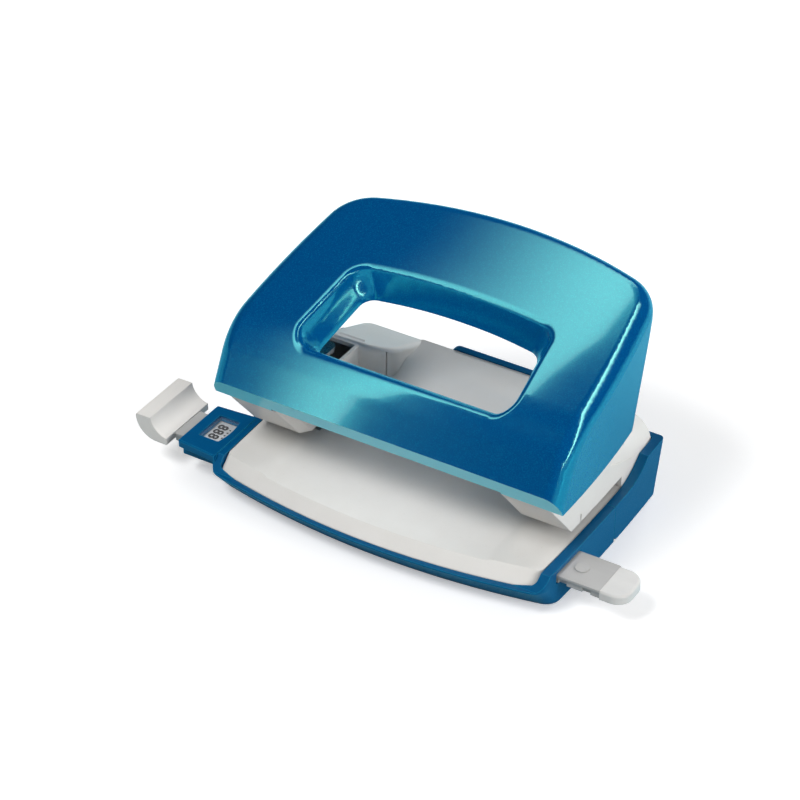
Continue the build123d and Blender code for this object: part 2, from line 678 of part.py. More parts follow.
with BuildPart() as cover:
    add(jaws)
    for left_x in (-reach, block_half):
        with BuildSketch(Plane.YZ.offset(left_x)):
            Polygon((throat_depth, cover_low), (throat_depth, jaw_height + 1), (rear_low + 0.8, jaw_height + 1),
                    (rear_low, cover_low), align=None)
        extrude(amount=reach - block_half)
    add(blocks)
    with BuildSketch(Plane.YZ.offset(-block_half - 1)):
        Polygon((throat_depth, cover_low), (throat_depth, bridge_height - bridge_fall),
                (throat_depth + bridge_run, bridge_height),
                (cover_rear + case_rear_lean * bridge_height, bridge_height), (rear_low, cover_low), align=None)
    extrude(amount=2 * block_half + 2)
    add(case_block(cover_low, block_top + 2, *fit), mode=Mode.INTERSECT)
    add(shoulders.part, mode=Mode.SUBTRACT)
    # Inside of the jaws, open above for the levers and below for the punch frames
    jaw_outer = case_end_half - fit[0] - jaw_outer_wall
    for left_x in (-jaw_outer, jaw_inner + jaw_wall):
        with BuildSketch(Plane.YZ.offset(left_x)):
            Polygon((nose(10, nose_wall), 10), (nose(32, nose_wall), 32), (block_front_y - 0.1, 32),
                    (block_front_y - 0.1, 28.2), (throat_depth + 3, 26.8), (throat_depth + 3, 10), align=None)
        extrude(amount=jaw_outer - jaw_inner - jaw_wall, mode=Mode.SUBTRACT)
    # Inside of the blocks and of the bridge, open below
    block_room = case_end_half - fit[0] - block_wall - block_half - 1.6
    bridge_inner = throat_depth + 1.6
    for left_x in (-block_half - 1.6 - block_room, block_half + 1.6):
        with BuildSketch(Plane.YZ.offset(left_x)):
            Polygon((bridge_inner, 10), (bridge_inner, block_top - 2.4), (rear_top - 1.9, block_rear_z - 1.6),
                    (rear_low - 1.9, 10), align=None)
        extrude(amount=block_room, mode=Mode.SUBTRACT)
    with BuildSketch(Plane.YZ.offset(-block_half - 0.1)):
        Polygon((bridge_inner, 10), (bridge_inner, bridge_height - bridge_fall - 1.2),
                (throat_depth + bridge_run + 0.3, bridge_height - 1.5), (rear_top - 1.6, bridge_height - 1.5),
                (rear_low - 1.9, 10), align=None)
    extrude(amount=2 * block_half + 0.2, mode=Mode.SUBTRACT)
    # Slits at the ends of the jaws' outer walls
    slit_x = (jaw_outer + case_end_half - side_wall) / 2
    with Locations((-slit_x, chin_y + 5.2, jaw_height + 1.2), (slit_x, chin_y + 5.2, jaw_height + 1.2)):
        Box(4, 0.5, 2.8, mode=Mode.SUBTRACT)
cover.part.label = "jaw_cover"
export_step(cover.part, "parts/jaw_cover.step")

# Paper guide: bar, end stop, cap and scale
with BuildPart() as bar:
    with Locations(((stop_foot_x + bar_right) / 2, bar_y, bar_top)):
        Box(bar_right - stop_foot_x, 2 * bar_half, 0.8, align=(Align.CENTER, Align.CENTER, Align.MAX))
        Box(bar_right - stop_foot_x, 2 * bar_half - 1.0, bar_top - bar_bottom,
            align=(Align.CENTER, Align.CENTER, Align.MAX))
    with Locations((bar_right, bar_y, bar_top - 0.8)):
        Box(4, 7, 1.2, align=(Align.MIN, Align.CENTER, Align.MAX))
    with Locations((bar_right - 8.3, bar_y, bar_top)):
        Cylinder(1.95, 0.3, align=(Align.CENTER, Align.CENTER, Align.MIN))
    # The stop's end is a tongue, and the front flank has the detent notches
    with Locations((stop_foot_x, bar_y, stop_tenon_z)):
        Box(stop_foot_x - bar_left, 8, stop_tenon, align=(Align.MAX, Align.CENTER, Align.CENTER))
    for from_end in (4, 11, 18):
        with Locations((bar_right - from_end, bar_y - bar_half, bar_top - 1.8)):
            Box(2.4, 2.4, 2.0, mode=Mode.SUBTRACT)
bar.part.label = "guide_bar"
export_step(bar.part, "parts/guide_bar.step")

with BuildPart() as cap:
    with BuildSketch(Plane.XY.offset(bar_bottom)) as cap_plan:
        with Locations(((bar_right + tip_x) / 2, bar_y)):
            Rectangle(tip_x - bar_right, 2 * bar_half)
        fillet(cap_plan.vertices().group_by(Axis.X)[-1], 4.5)
    extrude(amount=bar_top - bar_bottom)
    fillet(cap.faces().sort_by(Axis.Z)[-1].edges().filter_by(lambda e: e.center().X > bar_right + 0.1), 0.7)
    with Locations((bar_right, bar_y, bar_top - 0.75)):
        Box(4.1, 7.1, 1.3, align=(Align.MIN, Align.CENTER, Align.MAX), mode=Mode.SUBTRACT)
cap.part.label = "bar_cap"
export_step(cap.part, "parts/bar_cap.step")

with BuildPart() as strip:
    with Locations((-18, bar_y, bar_top)):
        Box(92, 2 * bar_half - 1.9, strip_thickness, align=(Align.CENTER, Align.CENTER, Align.MIN))
strip.part.label = "scale_strip"
export_step(strip.part, "parts/scale_strip.step")

with BuildPart() as stop:
    with BuildSketch(Plane.XZ.offset(-bar_y - stop_half)):
        with BuildLine():
            base, tip = (stop_foot_x - 4.3, stop_low), (stop_foot_x - 10.2, stop_top - 0.6)
            crest = (stop_foot_x - 5.2, stop_top + 0.1)
            Line((stop_foot_x, stop_low), base)
            ThreePointArc(base, (stop_foot_x - 8.6, stop_low + 2.4), tip)
            Polyline(tip, (stop_foot_x - 10.0, stop_top), crest)
            ThreePointArc(crest, (stop_foot_x - 3.1, stop_low + 3.5), (stop_foot_x, stop_low + 2.1))
            Line((stop_foot_x, stop_low + 2.1), (stop_foot_x, stop_low))
        make_face()
    extrude(amount=2 * stop_half)
    with Locations((stop_foot_x, bar_y, stop_tenon_z)):
        Box(stop_foot_x - bar_left + 0.1, 8.1, stop_tenon + 0.1,
            align=(Align.MAX, Align.CENTER, Align.CENTER), mode=Mode.SUBTRACT)
stop.part.label = "end_stop"
export_step(stop.part, "parts/end_stop.step")
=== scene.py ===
import bpy
import bmesh
import json
import math
from mathutils import Matrix, Vector


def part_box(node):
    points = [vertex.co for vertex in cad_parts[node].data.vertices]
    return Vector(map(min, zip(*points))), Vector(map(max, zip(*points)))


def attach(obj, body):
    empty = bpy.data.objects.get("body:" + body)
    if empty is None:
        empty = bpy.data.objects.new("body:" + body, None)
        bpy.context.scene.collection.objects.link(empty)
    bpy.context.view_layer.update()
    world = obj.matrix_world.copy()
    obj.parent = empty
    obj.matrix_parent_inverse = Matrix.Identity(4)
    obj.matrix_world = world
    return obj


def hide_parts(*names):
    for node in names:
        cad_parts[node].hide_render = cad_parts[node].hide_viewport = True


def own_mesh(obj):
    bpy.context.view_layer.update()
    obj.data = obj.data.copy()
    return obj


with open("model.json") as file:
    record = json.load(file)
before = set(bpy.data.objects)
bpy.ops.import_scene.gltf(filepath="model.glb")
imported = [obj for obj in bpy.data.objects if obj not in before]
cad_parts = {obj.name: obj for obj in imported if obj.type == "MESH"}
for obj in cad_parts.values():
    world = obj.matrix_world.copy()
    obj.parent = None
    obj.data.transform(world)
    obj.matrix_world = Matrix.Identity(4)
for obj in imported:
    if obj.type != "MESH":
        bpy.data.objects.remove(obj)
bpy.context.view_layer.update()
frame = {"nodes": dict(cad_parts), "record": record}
NODES = frame["nodes"]
BODIES = frame["record"]["behaviour"]["bodies"]
BODY_OF = {node: body for body, members in BODIES.items() for node in members}
SLOT_OF = {part["node"]: part["material_slot"] for part in frame["record"]["subparts"]}
scene = bpy.context.scene

# One millimetre in metres, the scene's unit
MM = 0.001

# Sockets of the Mix node when it mixes colours
MIX_FACTOR, MIX_FIRST, MIX_SECOND, MIX_RESULT = 0, 6, 7, 2


def linked(name, data):
    """New object at the origin, in the scene."""
    thing = bpy.data.objects.new(name, data)
    scene.collection.objects.link(thing)
    return thing


def evaluated_mesh(thing):
    """Plain mesh of an object with its modifiers applied."""
    bpy.context.view_layer.update()
    return bpy.data.meshes.new_from_object(thing.evaluated_get(bpy.context.evaluated_depsgraph_get()))


def ease(value, low, high):
    """Zero at low, one at high, with a gentle start and end."""
    share = min(1.0, max(0.0, (value - low) / (high - low)))
    return share * share * (3 - 2 * share)


# Camera of the catalogue view: from the front right and above
CAMERA_TURN = math.radians(31.5)
CAMERA_TILT = math.radians(35.0)
CAMERA_PLACE = (0.30616, -0.52050, 0.45203)
SENSOR_MM = 36.0
LENS_MM = 121.5


def place_camera():
    right = Vector((math.cos(CAMERA_TURN), math.sin(CAMERA_TURN), 0))
    level = math.cos(CAMERA_TILT)
    back = Vector((math.sin(CAMERA_TURN) * level, -math.cos(CAMERA_TURN) * level, math.sin(CAMERA_TILT)))
    up = back.cross(right)
    data = bpy.data.cameras.new("catalogue_view")
    data.sensor_width = SENSOR_MM
    data.lens = LENS_MM
    data.clip_start = 0.01
    data.clip_end = 50
    camera = linked("catalogue_view", data)
    turned = Matrix((right, up, back)).transposed().to_4x4()
    camera.matrix_world = Matrix.Translation(CAMERA_PLACE) @ turned
    scene.camera = camera


# Shader helpers
def feed(tree, value, socket):
    """Link a socket to another one, or give it a plain number or colour."""
    if isinstance(value, bpy.types.NodeSocket):
        tree.links.new(value, socket)
    elif isinstance(value, (int, float)):
        socket.default_value = value
    else:
        socket.default_value = (*value, 1)


def mix_colours(tree, factor, first, second):
    mixer = tree.nodes.new("ShaderNodeMix")
    mixer.data_type = "RGBA"
    feed(tree, factor, mixer.inputs[MIX_FACTOR])
    feed(tree, first, mixer.inputs[MIX_FIRST])
    feed(tree, second, mixer.inputs[MIX_SECOND])
    return mixer.outputs[MIX_RESULT]


def combine(tree, operation, first, second):
    """Math node on two sockets or numbers."""
    joined = tree.nodes.new("ShaderNodeMath")
    joined.operation = operation
    feed(tree, first, joined.inputs[0])
    feed(tree, second, joined.inputs[1])
    return joined.outputs[0]


def colour_ramp(tree, factor, stops):
    ramp = tree.nodes.new("ShaderNodeValToRGB")
    elements = ramp.color_ramp.elements
    while len(elements) < len(stops):
        elements.new(0.5)
    for element, (position, colour) in zip(elements, stops):
        element.position = position
        element.color = (*colour, 1)
    feed(tree, factor, ramp.inputs["Fac"])
    return ramp.outputs["Color"]


class Finish:
    """A material under construction: its tree, its Principled shader and its Object coordinates."""

    def __init__(self, name):
        self.material = bpy.data.materials.new(name)
        self.material.use_nodes = True
        self.tree = self.material.node_tree
        self.shader = self.tree.nodes["Principled BSDF"]
        self.place = self.add("ShaderNodeTexCoord").outputs["Object"]

    def add(self, kind, **settings):
        node = self.tree.nodes.new(kind)
        for name, value in settings.items():
            setattr(node, name, value)
        return node

    def link(self, source, target):
        self.tree.links.new(source, target)

    def set(self, **values):
        for name, value in values.items():
            self.shader.inputs[name.replace("_", " ")].default_value = value

    def noise(self, per_metre, detail=3.0, roughness=0.5, stretch=(1, 1, 1)):
        mapping = self.add("ShaderNodeMapping")
        mapping.inputs["Scale"].default_value = stretch
        self.link(self.place, mapping.inputs["Vector"])
        grain = self.add("ShaderNodeTexNoise")
        grain.inputs["Scale"].default_value = per_metre
        grain.inputs["Detail"].default_value = detail
        grain.inputs["Roughness"].default_value = roughness
        self.link(mapping.outputs["Vector"], grain.inputs["Vector"])
        return grain.outputs["Fac"]

    def spread(self, factor, low, high, start=0.3, end=0.7):
        """Take start to low and end to high, and hold beyond them."""
        level = self.add("ShaderNodeMapRange")
        level.inputs["From Min"].default_value = start
        level.inputs["From Max"].default_value = end
        level.inputs["To Min"].default_value = low
        level.inputs["To Max"].default_value = high
        self.link(factor, level.inputs["Value"])
        return level.outputs["Result"]

    def mix(self, factor, first, second):
        return mix_colours(self.tree, factor, first, second)

    def bump(self, height, depth, strength=1.0, rounding=0.0):
        bump = self.add("ShaderNodeBump")
        bump.inputs["Distance"].default_value = depth
        bump.inputs["Strength"].default_value = strength
        self.link(height, bump.inputs["Height"])
        if rounding:
            edge = self.add("ShaderNodeBevel", samples=4)
            edge.inputs["Radius"].default_value = rounding
            self.link(edge.outputs["Normal"], bump.inputs["Normal"])
        self.link(bump.outputs["Normal"], self.shader.inputs["Normal"])

    def colour(self, source):
        self.link(source, self.shader.inputs["Base Color"])

    def roughness(self, source):
        self.link(source, self.shader.inputs["Roughness"])

    def painted_edge_highlight_mask(self, radius, low=0.9, high=0.99):
        """One where the surface turns sharply, zero on its flat and gently curved stretches: the mask of a
        painted highlight along edges.
        """
        edge = self.add("ShaderNodeBevel", samples=4)
        edge.inputs["Radius"].default_value = radius
        face = self.add("ShaderNodeNewGeometry")
        dot = self.add("ShaderNodeVectorMath", operation="DOT_PRODUCT")
        self.link(edge.outputs["Normal"], dot.inputs[0])
        self.link(face.outputs["Normal"], dot.inputs[1])
        return self.spread(dot.outputs["Value"], 1.0, 0.0, low, high)


# Finishes
def flake_lacquer():
    """Blue flake lacquer of the hood under a clear coat; the lip below the apron, facing forward and down,
    is uncoated and carries a pale cyan painted reflection of the bright deck in front.
    """
    finish = Finish("flake_lacquer")
    flakes = finish.add("ShaderNodeTexVoronoi", feature="F1")
    flakes.inputs["Scale"].default_value = 5200
    finish.link(finish.place, flakes.inputs["Vector"])
    split = finish.add("ShaderNodeSeparateColor")
    finish.link(flakes.outputs["Color"], split.inputs["Color"])
    speck = finish.spread(split.outputs["Red"], 0.0, 1.0, 0.72, 1.0)
    cloud = finish.noise(700, 4, 0.6)
    deep = finish.mix(cloud, (0.0, 0.075, 0.270), (0.0, 0.100, 0.330))
    lacquer = finish.mix(speck, deep, (0.0, 0.15, 0.38))

    # Faces pointing forward and down, on the lip below the apron, get a pale cyan painted reflection of the
    # deck, a lower IOR and no coat.
    facing = finish.add("ShaderNodeSeparateXYZ")
    finish.link(finish.add("ShaderNodeTexCoord").outputs["Normal"], facing.inputs[0])
    forward = finish.spread(facing.outputs["Y"], 1.0, 0.0, -0.45, -0.25)
    downward = finish.spread(facing.outputs["Z"], 1.0, 0.0, -0.40, -0.20)
    painted_reflection_mask = combine(finish.tree, "MULTIPLY", forward, downward)
    finish.colour(finish.mix(painted_reflection_mask, lacquer, (0.20, 0.78, 0.95)))
    finish.link(finish.spread(painted_reflection_mask, 2.9, 1.3, 0, 1), finish.shader.inputs["IOR"])
    finish.link(finish.spread(painted_reflection_mask, 0.4, 0.0, 0, 1), finish.shader.inputs["Coat Weight"])

    finish.roughness(finish.spread(split.outputs["Green"], 0.06, 0.13, 0, 1))
    finish.bump(split.outputs["Blue"], 0.01 * MM, 0.35)
    finish.set(Specular_Tint=(0.16, 1.0, 0.88, 1), Coat_Roughness=0.025, Coat_IOR=1.42)
    return finish.material


def satin_blue():
    finish = Finish("satin_blue")
    cloud = finish.noise(260, 4, 0.6)
    base = finish.mix(cloud, (0.0, 0.072, 0.205), (0.0, 0.092, 0.245))
    # Sharp edges and rims get a lighter blue, a painted highlight.
    finish.colour(finish.mix(finish.painted_edge_highlight_mask(0.4 * MM), base, (0.01, 0.20, 0.38)))
    finish.roughness(finish.spread(finish.noise(2400, 2), 0.28, 0.40))
    finish.bump(finish.noise(5200, 2, 0.6), 0.02 * MM, 0.5, 0.3 * MM)
    finish.set(IOR=1.50, Specular_Tint=(0.3, 1.0, 1.0, 1))
    return finish.material


def warm_white():
    finish = Finish("warm_white")
    cloud = finish.noise(120, 3, 0.55)
    base = finish.mix(cloud, (0.755, 0.735, 0.700), (0.815, 0.800, 0.770))
    mottled = finish.spread(finish.noise(900, 5, 0.7), 0, 1, 0.62, 0.80)
    finish.colour(finish.mix(mottled, base, (0.70, 0.68, 0.64)))
    finish.roughness(finish.spread(finish.noise(1800, 3), 0.34, 0.48))
    finish.bump(finish.noise(4600, 2, 0.6), 0.02 * MM, 0.5, 0.35 * MM)
    finish.set(IOR=1.5)
    return finish.material


def grey_moulding(name, dark, light):
    finish = Finish(name)
    streak = finish.noise(300, 4, 0.6, (0.25, 1, 1))
    finish.colour(finish.mix(streak, dark, light))
    finish.roughness(finish.spread(finish.noise(2000, 3), 0.32, 0.50))
    finish.bump(finish.noise(4800, 2, 0.6), 0.02 * MM, 0.5, 0.3 * MM)
    finish.set(IOR=1.5)
    return finish.material


def clear_window():
    finish = Finish("clear_window")
    finish.colour(finish.mix(finish.noise(150, 2), (0.93, 0.95, 0.96), (0.98, 0.98, 0.98)))
    finish.roughness(finish.spread(finish.noise(500, 3), 0.02, 0.06))
    finish.bump(finish.noise(90, 1), 0.01 * MM, 0.3)
    finish.set(IOR=1.49, Alpha=0.05)
    return finish.material


def printed_film():
    finish = Finish("printed_film")
    finish.colour(finish.mix(finish.noise(400, 4), (0.60, 0.62, 0.64), (0.70, 0.71, 0.72)))
    finish.roughness(finish.spread(finish.noise(1500, 2), 0.35, 0.5))
    finish.bump(finish.noise(3000, 2), 0.01 * MM, 0.4)
    return finish.material


def ink():
    finish = Finish("ink")
    finish.colour(finish.mix(finish.noise(2500, 4), (0.004, 0.004, 0.005), (0.016, 0.016, 0.018)))
    finish.roughness(finish.spread(finish.noise(3000, 2), 0.4, 0.6))
    return finish.material


DARK_GRAIN = 0.82


def plated_steel(name, tone, brushed=(1, 18, 18), rough=(0.22, 0.36)):
    """Steel whose grain runs along the axis with the smallest stretch, darker in its furrows."""
    finish = Finish(name)
    grain = finish.noise(900, 4, 0.65, brushed)
    finish.colour(finish.mix(grain, tuple(DARK_GRAIN * value for value in tone), tone))
    finish.roughness(finish.spread(grain, *rough))
    finish.bump(grain, 0.01 * MM, 0.5, 0.1 * MM)
    finish.set(Metallic=1.0)
    return finish.material


FINISHES = {
    "blue_lacquer": flake_lacquer(),
    "blue_plastic": satin_blue(),
    "white_plastic": warm_white(),
    "grey_plastic": grey_moulding("grey_moulding", (0.43, 0.43, 0.425), (0.50, 0.50, 0.49)),
    "light_grey_plastic": grey_moulding("pale_cap", (0.64, 0.64, 0.625), (0.72, 0.72, 0.70)),
    "clear_plastic": clear_window(),
    "scale_film": printed_film(),
    "zinc_steel": plated_steel("zinc_plate", (0.66, 0.67, 0.69)),
    "hard_steel": plated_steel("ground_steel", (0.56, 0.56, 0.57), (18, 18, 1), (0.12, 0.24)),
    "spring_steel": plated_steel("drawn_wire", (0.42, 0.42, 0.43), (6, 6, 6), (0.25, 0.4)),
}
INK = ink()

# Section of the hood's outer surface through its middle: the brow's arc, then the straight crown
BROW_RADIUS = 20 * MM
BROW_CENTRE_Y = -10.35 * MM
BROW_CENTRE_Z = 33.92 * MM
CROWN_FRONT_Y = -15.36 * MM
CROWN_FRONT_Z = 53.28 * MM
CROWN_RISE = math.tan(math.radians(14.5))

# Finger opening with the walls that turn down around it
MOUTH_HALF_WIDTH = 33.5 * MM
MOUTH_FRONT_Y = -26.5 * MM
MOUTH_REAR_Y = 11.5 * MM
MOUTH_WALL_FOOT = 20 * MM
REFINED_DEPTH = 0.2 * MM
REFINING_ROUNDS = 3
LONGEST_EDGE = 1.2 * MM
ROLL_DEPTH = 0.4 * MM

# How far the walls are drawn in, and the depths and distances from the middle over which that grows
FRONT_DRAW = 3.4 * MM
FRONT_DEPTHS = (ROLL_DEPTH, 7.5 * MM)
FRONT_REACH = (-8 * MM, 22 * MM)
SIDE_DRAW = 2.4 * MM
SIDE_DEPTHS = (1.5 * MM, 9.5 * MM)
SIDE_REACH = (4 * MM, 30 * MM)


def in_mouth(place):
    return abs(place.x) <= MOUTH_HALF_WIDTH and MOUTH_FRONT_Y < place.y < MOUTH_REAR_Y


def below_hood(place):
    """Depth under the hood's outer surface."""
    if place.y > CROWN_FRONT_Y:
        top = CROWN_FRONT_Z + (place.y - CROWN_FRONT_Y) * CROWN_RISE
    else:
        top = BROW_CENTRE_Z + math.sqrt(BROW_RADIUS**2 - (place.y - BROW_CENTRE_Y) ** 2)
    return top - place.z


def draw_mouth(shape):
    """Draw the finger opening's front and side walls inwards below their roll."""

    def in_wall(vert):
        return in_mouth(vert.co) and REFINED_DEPTH < below_hood(vert.co) < MOUTH_WALL_FOOT

    for _ in range(REFINING_ROUNDS):
        long_edges = [edge for edge in shape.edges if edge.calc_length() > LONGEST_EDGE]
        in_walls = [edge for edge in long_edges if all(in_wall(vert) for vert in edge.verts)]
        bmesh.ops.subdivide_edges(shape, edges=in_walls, cuts=1, use_grid_fill=True)
    for vert in shape.verts:
        if not in_mouth(vert.co):
            continue
        depth = below_hood(vert.co)
        if not ROLL_DEPTH < depth < MOUTH_WALL_FOOT:
            continue
        x, y = vert.co.x, vert.co.y
        front = ease(depth, *FRONT_DEPTHS) * ease(-y, *FRONT_REACH)
        side = ease(depth, *SIDE_DEPTHS) * ease(abs(x), *SIDE_REACH)
        vert.co.y += FRONT_DRAW * front
        vert.co.x -= math.copysign(SIDE_DRAW * side, x)


# Rounded mouldings and pressings
MERGE_DISTANCE = 2e-6
SLIVER = 1e-6
CREASE = math.radians(32)
OPEN_EDGE_ANGLE = 3.2


def smooth_copy(node):
    """Merged copy of a CAD node, shaded smooth between its sharp edges and shown in its place."""
    mesh = NODES[node].data.copy()
    mesh.name = node + "_surface"
    shape = bmesh.new()
    shape.from_mesh(mesh)
    bmesh.ops.remove_doubles(shape, verts=shape.verts, dist=MERGE_DISTANCE)
    bmesh.ops.dissolve_degenerate(shape, dist=SLIVER, edges=shape.edges)
    if node == "handle":
        draw_mouth(shape)
    for edge in shape.edges:
        edge.smooth = len(edge.link_faces) == 2 and edge.calc_face_angle(OPEN_EDGE_ANGLE) < CREASE
    for face in shape.faces:
        face.smooth = True
    shape.to_mesh(mesh)
    shape.free()
    copy = linked(node + "_surface", mesh)
    weighted = copy.modifiers.new("even_normals", "WEIGHTED_NORMAL")
    weighted.mode = "FACE_AREA"
    weighted.keep_sharp = True
    plain = evaluated_mesh(copy)
    copy.modifiers.clear()
    copy.data = plain
    plain.materials.clear()
    plain.materials.append(FINISHES[SLOT_OF[node]])
    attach(copy, BODY_OF[node])
    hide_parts(node)
    return copy


for node, part in NODES.items():
    if part.data.materials:
        for index in range(len(part.material_slots)):
            part.material_slots[index].material = FINISHES[SLOT_OF[node]]
    else:
        part.data.materials.append(FINISHES[SLOT_OF[node]])
for node in ("handle", "jaw_cover", "deck", "tray", "chip_flap", "guide_bar", "bar_cap", "end_stop"):
    smooth_copy(node)

# The return springs shorten as the handle goes down, by slightly more than the punches' 5.54 mm; here each
# only gets a mesh of its own.
for node in ("return_spring_left", "return_spring_right"):
    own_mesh(smooth_copy(node))


# Print on the guide's scale: the setting under the window, its dots and the graduation
PRINT_THICKNESS = 0.03 * MM
FIGURE_HEIGHT = 3 * MM
CAPITAL_SHARE = 0.70
FIGURE_SWELL = 0.14 * MM
FIGURE_SPACING = 1.12
FIGURES_X, FIGURES_Y = -59 * MM, -22.38 * MM
DOT_WIDTH = 0.62 * MM
DOT_SIDES = 12
DOTS_X = -56.3 * MM
DOT_ROWS = (-24.40 * MM, -23.02 * MM, -21.60 * MM, -20.20 * MM)
LINE_COUNT = 9
LINE_PITCH = 8.5 * MM
LINES_X, LINES_Y = -48 * MM, -22.6 * MM
LINE_WIDTH = 0.3 * MM
SHORT_LINE, LONG_LINE = 4.0 * MM, 5.6 * MM


def mark_tree():
    """Geometry Nodes tree: equal flat marks, bars or round dots, one on each point of the host."""
    tree = bpy.data.node_groups.new("marks", "GeometryNodeTree")
    wanted = (("Geometry", "Geometry"), ("Width", "Float"), ("Length", "Float"), ("Round", "Bool"))
    for label, kind in wanted:
        tree.interface.new_socket(label, in_out="INPUT", socket_type="NodeSocket" + kind)
    tree.interface.new_socket("Geometry", in_out="OUTPUT", socket_type="NodeSocketGeometry")

    def add(kind, **settings):
        node = tree.nodes.new(kind)
        for name, value in settings.items():
            setattr(node, name, value)
        return node

    size = add("NodeGroupInput").outputs
    bar = add("GeometryNodeMeshGrid")
    bar.inputs["Vertices X"].default_value = 2
    bar.inputs["Vertices Y"].default_value = 2
    tree.links.new(size["Width"], bar.inputs["Size X"])
    tree.links.new(size["Length"], bar.inputs["Size Y"])
    dot = add("GeometryNodeMeshCircle", fill_type="NGON")
    dot.inputs["Vertices"].default_value = DOT_SIDES
    tree.links.new(combine(tree, "MULTIPLY", size["Width"], 0.5), dot.inputs["Radius"])
    choice = add("GeometryNodeSwitch", input_type="GEOMETRY")
    tree.links.new(size["Round"], choice.inputs["Switch"])
    tree.links.new(bar.outputs["Mesh"], choice.inputs["False"])
    tree.links.new(dot.outputs["Mesh"], choice.inputs["True"])

    placed = add("GeometryNodeInstanceOnPoints")
    tree.links.new(size["Geometry"], placed.inputs["Points"])
    tree.links.new(choice.outputs["Output"], placed.inputs["Instance"])
    real = add("GeometryNodeRealizeInstances")
    tree.links.new(placed.outputs["Instances"], real.inputs["Geometry"])
    inked = add("GeometryNodeSetMaterial")
    inked.inputs["Material"].default_value = INK
    tree.links.new(real.outputs["Geometry"], inked.inputs["Geometry"])
    tree.links.new(inked.outputs["Geometry"], add("NodeGroupOutput").inputs["Geometry"])
    return tree


def marks(tree, places, width, length, is_round=False):
    """Equal marks on the given places, as a plain mesh."""
    points = bpy.data.meshes.new("marks")
    points.from_pydata(places, [], [])
    host = linked("marks", points)
    modifier = host.modifiers.new("marks", "NODES")
    modifier.node_group = tree
    sizes = {"Width": width, "Length": length, "Round": is_round}
    for socket in tree.interface.items_tree:
        if socket.name in sizes:
            modifier[socket.identifier] = sizes[socket.name]
    plain = evaluated_mesh(host)
    bpy.data.objects.remove(host)
    bpy.data.meshes.remove(points)
    return plain


def figures(words, height, x, y, z):
    """Flat text whose tops point along +X, as a mesh in its place."""
    curve = bpy.data.curves.new("words", "FONT")
    curve.body = words
    curve.size = height / CAPITAL_SHARE
    curve.align_x = "CENTER"
    curve.align_y = "CENTER"
    curve.offset = FIGURE_SWELL
    curve.extrude = PRINT_THICKNESS
    curve.space_character = FIGURE_SPACING
    thing = linked("words", curve)
    mesh = evaluated_mesh(thing)
    bpy.data.objects.remove(thing)
    mesh.transform(Matrix.Translation((x, y, z)) @ Matrix.Rotation(-math.pi / 2, 4, "Z"))
    return mesh


def printed(name, pieces):
    mesh = bpy.data.meshes.new(name)
    shape = bmesh.new()
    for piece in pieces:
        shape.from_mesh(piece)
        bpy.data.meshes.remove(piece)
    shape.to_mesh(mesh)
    shape.free()
    mesh.materials.append(INK)
    thing = linked(name, mesh)
    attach(thing, "guide")


def line_places(first, height):
    """Places of every second line of the graduation, from the first one given."""
    return [(LINES_X + LINE_PITCH * step, LINES_Y, height) for step in range(first, LINE_COUNT, 2)]


film_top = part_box("scale_strip")[1][2]
print_height = film_top + PRINT_THICKNESS
print_tree = mark_tree()
dot_places = [(DOTS_X, y, print_height) for y in DOT_ROWS]
printed("scale_print", (
    figures("888", FIGURE_HEIGHT, FIGURES_X, FIGURES_Y, print_height),
    marks(print_tree, dot_places, DOT_WIDTH, DOT_WIDTH, is_round=True),
    marks(print_tree, line_places(0, print_height), LINE_WIDTH, SHORT_LINE),
    marks(print_tree, line_places(1, print_height), LINE_WIDTH, LONG_LINE),
))


# Studio reflectors by stations: the crisp side's x and y, the faded side's x and y, and the gain
REFLECTOR_HEIGHT = 0.146
REFLECTOR_PARTS = 8
BROAD = (
    (0.030, 0.140, -0.036, 0.160, 1.1),
    (0.009, 0.062, -0.063, 0.074, 1.1),
    (0.007, 0.050, -0.065, 0.062, 1.05),
    (-0.003, 0.032, -0.072, 0.045, 1.0),
    (-0.058, -0.114, -0.109, -0.097, 1.15),
    (-0.106, -0.217, -0.152, -0.203, 1.3),
    (-0.194, -0.388, -0.240, -0.376, 1.45),
    (-0.215, -0.425, -0.260, -0.414, 1.5),
    (-0.330, -0.640, -0.375, -0.629, 1.5),
)
NARROW = (
    (0.040, 0.066, 0.066, 0.090, 1.0),
    (0.052, 0.044, 0.080, 0.062, 1.0),
    (0.075, 0.022, 0.108, 0.048, 1.0),
    (0.150, -0.005, 0.180, 0.035, 1.2),
    (0.280, -0.045, 0.320, 0.005, 1.5),
    (0.420, -0.180, 0.480, -0.130, 1.8),
    (0.440, -0.400, 0.520, -0.400, 1.8),
)
FAINT = (
    (0.012, 0.130, 0.055, 0.110, 1.0),
    (0.009, 0.066, 0.040, 0.056, 1.0),
    (0.006, 0.048, 0.026, 0.040, 0.4),
    (-0.001, 0.036, 0.014, 0.029, 0.0),
)


def glowing(name, strength, colour):
    """Emission that follows the mesh's glow attribute, full at the crisp side and zero at the faded one."""
    material = bpy.data.materials.new(name)
    material.use_nodes = True
    tree = material.node_tree
    tree.nodes.clear()
    level = tree.nodes.new("ShaderNodeAttribute")
    level.attribute_name = "glow"
    light = tree.nodes.new("ShaderNodeEmission")
    light.inputs["Color"].default_value = (*colour, 1)
    feed(tree, combine(tree, "MULTIPLY", level.outputs["Fac"], strength), light.inputs["Strength"])
    out = tree.nodes.new("ShaderNodeOutputMaterial")
    tree.links.new(light.outputs[0], out.inputs[0])
    return material


